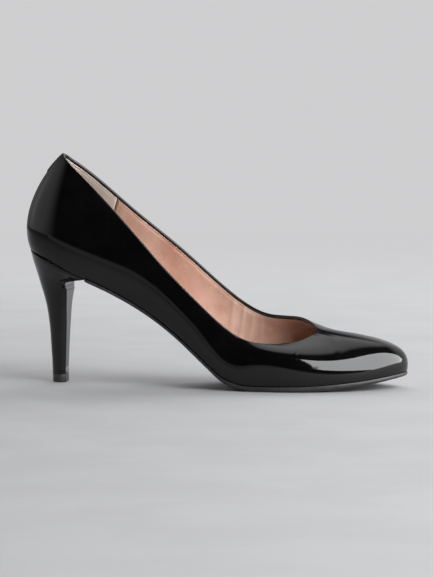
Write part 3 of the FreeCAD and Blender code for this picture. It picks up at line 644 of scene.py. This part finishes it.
def build_lining(name, first, last, slot, node):
    """A lining piece between two seams, with a beaded top edge and a few wrinkles."""
    u = np.linspace(first, last, int(abs(last - first) * 520))
    w, depth = sheet_section(u, WALL_DEPTH, LINING_DEPTH, LINING_TOP, LINING_ROUND, [1.9])
    whole = np.broadcast_to(u[:, None], w.shape)
    wrinkle = np.zeros(w.shape)
    for place, lean, deep, width in WRINKLES:
        across = (whole % 1.0 - place - lean * (w - 2.5)) * LOOP_LENGTH
        wrinkle += deep * bell(across, width) * np.clip((3.0 - w) / 0.12, 0.0, 1.0)
    shallow = depth < LINING_DEPTH + 0.1
    below = (3.0 - w) * top_speed(u)[:, None]
    bead = EDGE_BEAD * bell(below - LINING_TOP - 0.9, 0.7)
    depth = np.where(shallow, depth, depth + wrinkle - bead)
    # the seam ends are pulled down a little towards the backing
    ends = np.minimum(np.abs(whole - first), np.abs(whole - last)) * LOOP_LENGTH
    depth = np.where(shallow, depth, depth - SEAM_DIP * bell(ends, 0.9))
    points = skin(whole, w) - skin_normal(whole, w) * depth[..., None]
    rows, columns = w.shape
    faces = grid_faces(rows, columns, False, True)
    faces += cap_faces(columns, 0)
    faces += [face[::-1] for face in cap_faces(columns, (rows - 1) * columns)]
    piece(name, points, faces, slot, [node])


TAB_HALF = 0.012
TAB_TALL = 0.235
TAB_TOP = 2.992
TAB_LOW_POWER = 0.9


def tab_side(angle):
    """How far out the tab's edge is at an angle, as a share of its half width."""
    return np.sign(np.cos(angle)) * np.abs(np.cos(angle)) ** 0.75


def build_tab():
    """The rounded tab over the top of the back seam, thin at its edge."""
    around = np.linspace(0.0, 2.0 * math.pi, 96, endpoint=False)
    # a long D: square at the topline, round at its lower end
    side = tab_side(around)
    tall = np.sin(around)
    tall = np.where(tall > 0.0, np.abs(tall) ** 0.45, -np.abs(tall) ** TAB_LOW_POWER)
    # share of the outline, and depth under the surface of the upper in mm
    rings = [(0.0, 0.06), (0.6, 0.06), (0.97, 0.06), (1.0, 0.0), (1.0, -0.14)]
    rings += [(0.99, -0.26), (0.96, -0.36), (0.9, -0.43), (0.6, -0.48), (0.3, -0.5), (0.0, -0.5)]
    points = []
    for scale, depth in rings:
        u = TAB_HALF * side * scale
        w = TAB_TOP - TAB_TALL * 0.5 * (1.0 - tall * scale)
        normal = skin_normal(u, w)
        points.append(skin(u, w) - normal * depth)
    faces = grid_faces(len(rings), len(around), False, True)
    piece("tab", np.array(points), faces, "black_patent", ["back_tab"])


STITCH_SIDES = 6
# Rings of a stitch: share of its length from the middle, thickness and lift.
STITCH_RINGS = [
    (-0.5, 0.05, -0.5),
    (-0.42, 0.7, -0.1),
    (-0.2, 1.0, 0.25),
    (0.2, 1.0, 0.25),
    (0.42, 0.7, -0.1),
    (0.5, 0.05, -0.5),
]


def stitches(name, places, normals, thick, finish, slot, share):
    """Separate rounded stitches along a line of places on a surface. Each takes up a
    share of the pitch."""
    points, faces = [], []
    around = STITCH_SIDES
    for a, b, up in zip(places[:-1], places[1:], normals):
        run = b - a
        long = np.linalg.norm(run)
        run = run / long
        side = np.cross(up, run)
        middle = (a + b) / 2.0
        first = len(points)
        for at, wide, lift in STITCH_RINGS:
            centre = middle + run * (at * long * share) + up * thick * lift
            for k in range(around):
                angle = 2.0 * math.pi * k / around
                ring = side * math.cos(angle) + up * math.sin(angle) * 0.8
                points.append(centre + ring * thick * wide)
        last = len(points) - around
        for i in range(len(STITCH_RINGS) - 1):
            for k in range(around):
                j = (k + 1) % around
                row = first + i * around
                faces.append((row + k, row + j, row + around + j, row + around + k))
        faces.append(tuple(range(first, first + around)))
        faces.append(tuple(range(last, last + around))[::-1])
    piece(name, np.array(points), faces, slot, (), finish)


SEAM_STITCH_OFFSET = 0.0034


def build_stitching():
    """Stitches round the tab and beside the two seams of the lining."""
    turn = np.linspace(math.pi * 1.02, math.pi * 1.98, 30)
    u = TAB_HALF * 0.8 * tab_side(turn)
    w = TAB_TOP - TAB_TALL * 0.5 * (1.0 + 0.88 * np.abs(np.sin(turn)) ** TAB_LOW_POWER)
    up = skin_normal(u, w)
    places = skin(u, w) + up * 0.46
    stitches("tab_stitching", places, up, 0.2, "black_thread", "black_patent", 0.68)
    for tag, seam in (("outer", QUARTER_SEAM), ("inner", 1.0 - QUARTER_SEAM)):
        forward = SEAM_STITCH_OFFSET if seam < 0.5 else -SEAM_STITCH_OFFSET
        w = np.linspace(2.18, 2.955, 26)
        u = np.full(w.shape, seam + forward)
        up = -skin_normal(u, w)
        places = skin(u, w) + up * (WALL_DEPTH + 0.05)
        name = f"lining_stitching_{tag}"
        stitches(name, places, up, 0.16, "pale_thread", "pink_lining", 0.6)


# ---------------------------------------------------------------- bottom parts
SOLE_BACK = 20.8
SOLE_TOP = -0.02
WAIST_BOTTOM = -1.4
EXTENSION = 0.75
TOE_EXTENSION = 0.3
TOE_EASE_START = 150.0
TOE_EASE = 45.0
ACROSS = 22
ALONG = 230
FEATHER_COUNT = 720
ROOM_COUNT = 360
NO_CUT = -1000.0


def inner_loop(height, clearance):
    """The room inside the lining in plan, at a height above the feather line."""
    u = np.arange(ROOM_COUNT) / ROOM_COUNT
    low = np.full(ROOM_COUNT, 1.3)
    high = np.full(ROOM_COUNT, 2.6)
    for step in range(20):
        w = (low + high) / 2.0
        p = skin(u, w) - skin_normal(u, w) * (WALL_DEPTH + clearance)
        under = (p[:, 2] - feather_z(p[:, 0])) * np.cos(slope(p[:, 0])) < height
        low = np.where(under, w, low)
        high = np.where(under, high, w)
    return p[:, 0:2]


def move_in(loop, distance):
    """A closed plan outline moved inwards."""
    change = np.roll(loop, -1, 0) - np.roll(loop, 1, 0)
    size = np.hypot(change[:, 0], change[:, 1])[:, None]
    out = np.stack([change[:, 1], -change[:, 0]], -1) / size
    return loop - out * distance


def two_sides(loop, back_cut):
    """Matching places of the outer and inner side of a plan outline, from back to toe."""
    toe = int(np.argmax(loop[:, 0]))
    heel = int(np.argmin(loop[:, 0]))
    turned = np.roll(loop, -heel, 0)
    toe = (toe - heel) % len(loop)
    outer = turned[: toe + 1]
    inner = np.concatenate([turned[toe:], turned[:1]])[::-1]
    start = max(outer[0, 0], back_cut)
    end = outer[-1, 0]
    share = np.linspace(0.0, 1.0, ALONG)
    if back_cut > outer[0, 0]:
        ease = np.sin(share * math.pi / 2.0)
    else:
        ease = (1.0 - np.cos(share * math.pi)) / 2.0
    x = start + (end - start) * ease
    low = np.interp(x, outer[:, 0], outer[:, 1])
    high = np.interp(x, inner[:, 0], inner[:, 1])
    return x, low, high


def plate(name, loop, rings, height, slot, nodes, back_cut=NO_CUT):
    """A curved plate: rings of its edge from one face to the other, each an inset and a
    share of the way between them, and an even net of faces across both faces."""
    share = np.linspace(0.0, 1.0, ACROSS + 1)
    points, edge_loops = [], []
    for k, (inset, level) in enumerate(rings):
        cut = back_cut + inset * 0.5 if back_cut > NO_CUT else NO_CUT
        x, low, high = two_sides(move_in(loop, inset), cut)
        across = low[:, None] * (1.0 - share) + high[:, None] * share
        along = np.broadcast_to(x[:, None], across.shape)
        net = np.stack([along, across, height(along, level)], -1)
        border = [(i, 0) for i in range(ALONG)]
        border += [(ALONG - 1, j) for j in range(1, ACROSS + 1)]
        border += [(i, ACROSS) for i in range(ALONG - 2, -1, -1)]
        border += [(0, j) for j in range(ACROSS - 1, 0, -1)]
        first = len(points)
        if k in (0, len(rings) - 1):
            points.extend(net.reshape(-1, 3))
            edge_loops.append([first + i * (ACROSS + 1) + j for i, j in border])
        else:
            points.extend(net[i, j] for i, j in border)
            edge_loops.append(list(range(first, first + len(border))))
    net_faces = grid_faces(ALONG, ACROSS + 1, False, False)
    last = edge_loops[-1][0]
    faces = net_faces + [tuple(n + last for n in face[::-1]) for face in net_faces]
    for upper, lower in zip(edge_loops, edge_loops[1:]):
        for a in range(len(upper)):
            b = (a + 1) % len(upper)
            faces.append((upper[a], upper[b], lower[b], lower[a]))
    return piece(name, np.array(points), faces, slot, nodes)


WAIST_CORNER = BALL_END + (BALL_END_Z + WAIST_BOTTOM / math.cos(WAIST)) / math.tan(WAIST)
SWEEP_REACH = BALL_START - WAIST_CORNER
SWEEP_R = SWEEP_REACH / math.tan(WAIST / 2.0)
SWEEP_START = WAIST_CORNER - SWEEP_REACH * math.cos(WAIST)
TOE_THINNING = 0.8
THIN_FROM = 165.0
THIN_TO = 208.0


def sole_under(x):
    """Underside of the outsole: thin waist, one arc down to the ground, tread, toe spring."""
    thin = height_off(x, WAIST_BOTTOM)
    straight = (WAIST_CORNER - x) * math.tan(WAIST)
    sweep = SWEEP_R - np.sqrt(np.maximum(SWEEP_R ** 2 - (BALL_START - x) ** 2, 0.0))
    spring_r = TOE_R + FEATHER
    spring = spring_r - np.sqrt(spring_r ** 2 - np.maximum(x - TOE_START, 0.0) ** 2)
    thinning = np.clip((x - THIN_FROM) / (THIN_TO - THIN_FROM), 0.0, 1.0) ** 2
    spring = spring + TOE_THINNING * thinning
    places = [x > TOE_START, x > BALL_START, x > SWEEP_START, x > BALL_END]
    return np.select(places, [spring, np.zeros(x.shape), sweep, straight], thin)


def sole_height(x, level):
    """Height in the outsole at x: level 0 is its top, 1 its underside."""
    over = height_off(x, SOLE_TOP)
    return over + (sole_under(x) - over) * level


def build_outsole():
    """The outsole: its rim stands up a little round the foot of the upper, and its lower
    edge is bevelled."""
    rings = [(0.9, 0.0), (0.5, -0.02), (0.32, -0.19), (0.16, -0.26), (0.04, -0.2), (0.0, -0.05)]
    rings += [(0.0, 0.3), (0.02, 0.5), (0.14, 0.58), (0.32, 0.68), (0.5, 0.8), (0.75, 0.92)]
    rings += [(1.1, 0.985), (1.5, 1.0), (2.1, 1.0)]
    c, change = station_values(np.arange(FEATHER_COUNT) / FEATHER_COUNT)
    toe = np.clip((c[:, 0] - TOE_EASE_START) / TOE_EASE, 0.0, 1.0)
    beyond = EXTENSION + (TOE_EXTENSION - EXTENSION) * toe
    loop = c[:, 0:2] + outward(change[:, 0:2])[:, 0:2] * beyond[:, None]
    plate("sole", loop, rings, sole_height, "sole_rubber", ["outsole"], SOLE_BACK)


FOAM_LOW = 3.25
FOAM_HIGH = 5.25
SOCK_LOW = 5.3
SOCK_HIGH = 6.1


def slab(low, high):
    """Height function of an even slab above the feather line: level 0 is its top."""
    def height(x, level):
        """Height in the slab at x."""
        return height_off(x, high + (low - high) * level)
    return height


def build_sock():
    """The leather sock over the foam, with rounded edges."""
    rings = [(0.9, 0.0), (0.45, 0.02), (0.2, 0.1), (0.05, 0.3)]
    rings += [(0.0, 0.55), (0.1, 0.85), (0.4, 1.0), (0.9, 1.0)]
    loop = inner_loop(SOCK_LOW, 0.15)
    plate("sock", loop, rings, slab(SOCK_LOW, SOCK_HIGH), "sock_leather", ["sock_lining"])


def build_foam():
    """The thin foam pad under the sock, with soft rounded edges."""
    rings = [(2.5, 0.0), (1.2, 0.05), (0.5, 0.16), (0.1, 0.35)]
    rings += [(0.0, 0.55), (0.15, 0.8), (0.7, 0.97), (2.0, 1.0)]
    loop = inner_loop(FOAM_LOW + 0.4, 0.7)
    pad = plate("foam_pad", loop, rings, slab(FOAM_LOW, FOAM_HIGH), "foam", ["insole_foam"])


# ---------------------------------------------------------------- heel
# Height and tilt of each level, then distances to the back and breast, the half width and
# the width of the flat breast as a share of the whole.
HEEL_LEVELS = np.array([
    (5.05, 0.0, 5.0, 3.85, 5.25, 0.80),
    (12.0, 0.0, 5.3, 4.1, 5.5, 0.80),
    (22.0, 0.0, 5.9, 4.5, 6.0, 0.80),
    (37.0, 3.0, 7.1, 5.1, 7.4, 0.80),
    (49.0, 8.0, 9.4, 5.6, 9.7, 0.80),
    (58.0, 14.0, 12.8, 6.5, 13.2, 0.80),
    (65.0, 19.0, 15.9, 7.8, 17.6, 0.82),
    (67.3, 20.5, 17.1, 12.0, 19.4, 0.85),
    (69.5, 22.0, 18.2, 15.4, 21.0, 0.90),
    (72.3, 23.5, 19.3, 19.9, 23.1, 0.97),
    (76.0, 23.5, 20.2, 26.6, 24.2, 0.97),
])
COVER = 0.8
BREAST_CORNER = 0.6
WIDER_CORNER = 0.5
COLLAR = 0.16
COLLAR_HEIGHT = 6.3


def level_at(height):
    """Heel level values at a height, on a smooth curve through the levels."""
    z = HEEL_LEVELS[:, 0]
    values = HEEL_LEVELS[:, 1:]
    tangents = np.gradient(values, z, axis=0)
    k = int(np.clip(np.searchsorted(z, height) - 1, 0, len(z) - 2))
    span = z[k + 1] - z[k]
    t = (height - z[k]) / span
    a = values[k] * (1.0 + 2.0 * t) * (1.0 - t) ** 2 + values[k + 1] * t * t * (3.0 - 2.0 * t)
    b = tangents[k] * span * t * (1.0 - t) ** 2 - tangents[k + 1] * span * t * t * (1.0 - t)
    return a + b


def heel_outline(back, front, half, corner, share):
    """A D outline: elliptical back, sides drawn in to a flat breast with rounded corners."""
    deep = 1.05 * half
    centre = deep - back
    edge = front - corner
    breast = share * half
    inner = breast - corner
    sweep = np.linspace(0.0, math.pi / 2.0, 40)
    side = np.linspace(0.0, 1.0, 12)
    turn = np.linspace(0.0, 1.0, 8)[1:]
    flat = np.linspace(inner, 0.0, 10)[1:]
    # one half, from the middle of the back to the middle of the breast
    x = np.concatenate([
        centre - deep * np.cos(sweep[:-1]),
        centre + (edge - centre) * side,
        edge + corner * turn * (2.0 - turn),
        np.full(flat.shape, front),
    ])
    y = np.concatenate([
        half * np.sin(sweep[:-1]),
        half + (breast - half) * side ** 1.7,
        breast - corner * turn ** 2,
        flat,
    ])
    x = np.concatenate([x, x[-2:0:-1]])
    y = np.concatenate([-y, y[-2:0:-1]])
    return np.stack([x, y], -1)


def heel_ring(height, inset, corner):
    """One ring of the heel in its tilted plane."""
    tilt, back, front, half, share = level_at(height)
    flat = heel_outline(back - inset, front - inset, half - inset, corner, share)
    a = math.radians(tilt)
    x = flat[:, 0] * math.cos(a)
    return np.stack([x, flat[:, 1], height - flat[:, 0] * math.sin(a)], -1)


def build_heel_cover():
    """The patent wrap of the heel: a thin shell with a small rolled collar above the lift."""
    top = SEAT_Z - 0.1
    heights = np.concatenate([
        np.array([5.05, 5.2, 5.5, 5.9, 6.4, 6.9, 7.3, 7.8]),
        np.linspace(8.5, 64.0, 60),
        np.linspace(64.6, top, 34),
    ])
    rings = []
    for height in heights:
        collar = -COLLAR * bell(height - COLLAR_HEIGHT, 0.7)
        corner = BREAST_CORNER + WIDER_CORNER * np.clip((height - 50.0) / 24.0, 0.0, 1.0)
        rings.append(heel_ring(height, collar, corner))
    inner = [heel_ring(height, COVER, BREAST_CORNER) for height in heights[::-4]]
    points = np.array(rings + inner)
    faces = grid_faces(points.shape[0], points.shape[1], True, True)
    piece("heel_wrap", points, faces, "black_patent", ["heel_cover"])


TIP_BACK = 4.95
TIP_FRONT = 4.2
TIP_HALF = 5.25
TIP_CORNER = 0.7
TIP_SHARE = 0.8
TIP_MIDDLE = -0.4


def build_top_lift():
    """The tip: a D block with a rounded lower edge."""
    rings = [(1.5, 5.0), (0.3, 5.0), (0.06, 4.93), (0.0, 4.75), (0.0, 2.6), (0.0, 1.3)]
    rings += [(0.05, 0.75), (0.18, 0.38), (0.4, 0.12), (0.7, 0.0), (1.8, 0.0)]
    points = []
    for inset, height in rings:
        back, front, half = TIP_BACK - inset, TIP_FRONT - inset, TIP_HALF - inset
        flat = heel_outline(back, front, half, TIP_CORNER, TIP_SHARE)
        points.append(np.column_stack([flat, np.full(len(flat), height)]))
    around = len(points[0])
    faces = grid_faces(len(rings), around, False, True)
    count = len(rings) * around
    centres = [(TIP_MIDDLE, 0.0, rings[0][1]), (TIP_MIDDLE, 0.0, rings[-1][1])]
    faces += fan_faces(0, around, count)
    faces += fan_faces((len(rings) - 1) * around, around, count + 1)
    whole = np.concatenate([np.concatenate(points), np.array(centres)])
    piece("tip", whole, faces, "lift_rubber", ["top_lift"])


build_upper()
quarter_end = QUARTER_SEAM - SEAM_GAP
vamp_start = QUARTER_SEAM + SEAM_GAP
vamp_end = 1.0 - QUARTER_SEAM - SEAM_GAP
build_lining("lining_quarter", -QUARTER_SEAM + SEAM_GAP, quarter_end, "beige_lining", "quarter_lining")
build_lining("lining_vamp", vamp_start, vamp_end, "pink_lining", "vamp_lining")
build_tab()
build_stitching()
build_outsole()
build_sock()
build_foam()
build_heel_cover()
build_top_lift()

# Every CAD node takes a finish. The ones that no piece replaces keep their CAD shape.
NODE_FINISH = {
    "heel_counter": "fibre_stiffener",
    "toe_puff": "fibre_stiffener",
    "side_backers": "backer_cloth",
    "vamp_backer": "backer_cloth",
    "insole_forepart": "fibre_board",
    "insole_backpart": "fibre_board",
    "bottom_filler": "filler_felt",
    "shank": "shank_steel",
    "shank_rivets": "fixing_steel",
    "heel_screw": "fixing_steel",
    "heel_nails": "fixing_steel",
    "heel_block": "heel_plastic",
    "heel_tube": "shank_steel",
    "top_lift_pin": "fixing_steel",
    "upper_patent": "black_patent",
    "back_tab": "black_patent",
    "quarter_lining": "beige_lining",
    "vamp_lining": "pink_lining",
    "outsole": "sole_rubber",
    "insole_foam": "foam",
    "sock_lining": "sock_leather",
    "heel_cover": "black_patent",
    "top_lift": "lift_rubber",
}
for node, finish in NODE_FINISH.items():
    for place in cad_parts[node].material_slots:
        place.material = FINISHES[finish]

# ---------------------------------------------------------------- stage, camera and light
FLOOR_MIDDLE = 0.1
FLOOR_RINGS = [0.0, 0.4, 1.0, 2.5, 9.0]
FLOOR_SIDES = 64
FADE_FROM = 0.25
FADE_TO = 1.6
PALE = 0.62
BACKDROP = (PALE, PALE, PALE * 1.015, 1.0)


def mix_shaders(tree, share, one, other, output):
    """The output shows one shader, turning into the other by a share."""
    mix = tree.nodes.new("ShaderNodeMixShader")
    tree.links.new(share, mix.inputs["Fac"])
    tree.links.new(one, mix.inputs[1])
    tree.links.new(other, mix.inputs[2])
    tree.links.new(mix.outputs["Shader"], tree.nodes[output].inputs["Surface"])


def build_floor():
    """A pale paper floor that runs on into the pale backdrop."""
    data = bpy.data.meshes.new("floor")
    points = []
    for radius in FLOOR_RINGS:
        for k in range(FLOOR_SIDES):
            angle = 2.0 * math.pi * k / FLOOR_SIDES
            x = FLOOR_MIDDLE + radius * math.cos(angle)
            points.append((x, radius * math.sin(angle), 0.0))
    data.from_pydata(points, [], grid_faces(len(FLOOR_RINGS), FLOOR_SIDES, False, True))
    floor = bpy.data.objects.new("floor", data)
    bpy.context.scene.collection.objects.link(floor)
    clean_mesh(data)
    paper = plain_finish(
        "floor_paper", (0.245, 0.245, 0.25), (0.26, 0.26, 0.265), 60.0, (0.7, 0.8), 2.0, 0.02
    )
    fade_to_backdrop(paper.node_tree)
    data.materials.append(paper)


def fade_to_backdrop(tree):
    """Far from the shoe the floor is seen by the camera as bright as the backdrop."""
    place = tree.nodes.new("ShaderNodeTexCoord")
    length = tree.nodes.new("ShaderNodeVectorMath")
    length.operation = "LENGTH"
    tree.links.new(place.outputs["Object"], length.inputs[0])
    far = tree.nodes.new("ShaderNodeMapRange")
    far.interpolation_type = "SMOOTHSTEP"
    far.inputs["From Min"].default_value = FADE_FROM
    far.inputs["From Max"].default_value = FADE_TO
    tree.links.new(length.outputs["Value"], far.inputs["Value"])
    path = tree.nodes.new("ShaderNodeLightPath")
    share = join_values(tree, far.outputs["Result"], path.outputs["Is Camera Ray"], "MULTIPLY")
    pale = tree.nodes.new("ShaderNodeEmission")
    pale.inputs["Color"].default_value = BACKDROP
    paper = tree.nodes["Principled BSDF"].outputs["BSDF"]
    mix_shaders(tree, share, paper, pale.outputs["Emission"], "Material Output")


def towards(azimuth, elevation):
    """Unit vector towards a place round the shoe: azimuth 0 is the outer side, 90 is
    the toe."""
    a, e = math.radians(azimuth), math.radians(elevation)
    return Vector((math.sin(a) * math.cos(e), -math.cos(a) * math.cos(e), math.sin(e)))


SHOE = Vector((0.12, 0.0, 0.03))


def soft_light(name, azimuth, elevation, distance, size, radiance, roll=0.0, aim=SHOE):
    """A flat soft light turned to a place, given by how bright its face is."""
    light = bpy.data.lights.new(name, "AREA")
    light.shape = "RECTANGLE"
    light.size, light.size_y = size
    light.energy = radiance * size[0] * size[1] * math.pi
    light.color = (0.98, 0.985, 1.0)
    thing = bpy.data.objects.new(name, light)
    back = towards(azimuth, elevation)
    thing.location = aim + back * distance
    thing.rotation_euler = back.to_track_quat("Z", "Y").to_euler()
    thing.rotation_euler.rotate_axis("Z", math.radians(roll))
    thing.visible_camera = False
    bpy.context.scene.collection.objects.link(thing)
    return thing


SOFTBOX_AIM = SHOE + Vector((0.325, 0.152, -0.362))
BEHIND = Vector((0.15, 0.95, 0.0))


def build_lights():
    """A big softbox beyond the toe, a low card along the near side, and a light over the
    floor behind the shoe that shows in no reflection."""
    soft_light("softbox", 70.0, 35.0, 1.3, (2.44, 1.31), 8.6, -37.0, SOFTBOX_AIM)
    soft_light("front_card", 0.0, -0.6, 1.6, (4.0, 0.2), 0.33)
    behind = soft_light("floor_light", 180.0, 80.0, 0.9, (3.0, 1.0), 4.4, 0.0, BEHIND)
    behind.visible_glossy = False


# The dark studio, and the soft glows of its walls: azimuth, elevation, full out to, gone
# by, brightness. Angles are in degrees.
DIM = 0.012
GLOWS = [
    (-78.0, 20.0, 14.0, 46.0, 0.66),
    (-174.0, 60.0, 10.0, 25.5, 1.06),
    (146.0, 6.0, 32.0, 48.0, 0.70),
    (-122.0, 12.0, 10.0, 30.0, 0.30),
]


def glow(tree, direction, azimuth, elevation, full, gone, brightness):
    """Brightness of one round glow of the studio wall, as seen in each direction."""
    dot = tree.nodes.new("ShaderNodeVectorMath")
    dot.operation = "DOT_PRODUCT"
    dot.inputs[1].default_value = towards(azimuth, elevation)
    tree.links.new(direction, dot.inputs[0])
    soft = tree.nodes.new("ShaderNodeMapRange")
    soft.interpolation_type = "SMOOTHSTEP"
    soft.inputs["From Min"].default_value = math.cos(math.radians(gone))
    soft.inputs["From Max"].default_value = math.cos(math.radians(full))
    soft.inputs["To Max"].default_value = brightness
    tree.links.new(dot.outputs["Value"], soft.inputs["Value"])
    return soft.outputs["Result"]


def build_studio():
    """The surroundings: a pale backdrop to look at, dim walls with glows to light by."""
    world = bpy.data.worlds.new("studio")
    world.use_nodes = True
    scene.world = world
    tree = world.node_tree
    direction = tree.nodes.new("ShaderNodeTexCoord").outputs["Generated"]
    total = glow(tree, direction, *GLOWS[0])
    for values in GLOWS[1:]:
        total = join_values(tree, total, glow(tree, direction, *values))
    total = join_values(tree, total, DIM)
    walls = tree.nodes["Background"]
    walls.inputs["Color"].default_value = (1.0, 1.0, 1.0, 1.0)
    tree.links.new(total, walls.inputs["Strength"])
    backdrop = tree.nodes.new("ShaderNodeBackground")
    backdrop.inputs["Color"].default_value = BACKDROP
    seen = tree.nodes.new("ShaderNodeLightPath").outputs["Is Camera Ray"]
    shaders = (walls.outputs["Background"], backdrop.outputs["Background"])
    mix_shaders(tree, seen, *shaders, "World Output")


CAMERA_AZIMUTH = 11.0
CAMERA_ELEVATION = 4.5
CAMERA_DISTANCE = 2.0
CAMERA_LENS = 204.6
AIM = Vector((0.0976, 0.0005, 0.0589))


def build_camera():
    """The camera on the outer side, a little raised and turned a little to the toe end."""
    data = bpy.data.cameras.new("camera")
    data.lens = CAMERA_LENS
    data.sensor_width = 36.0
    data.clip_end = 50.0
    camera = bpy.data.objects.new("camera", data)
    back = towards(CAMERA_AZIMUTH, CAMERA_ELEVATION)
    camera.location = AIM + back * CAMERA_DISTANCE
    camera.rotation_euler = back.to_track_quat("Z", "Y").to_euler()
    scene.collection.objects.link(camera)
    return camera


scene = bpy.context.scene
scene.view_settings.view_transform = "Standard"
build_floor()
build_lights()
build_studio()
bpy.context.scene.camera = build_camera()
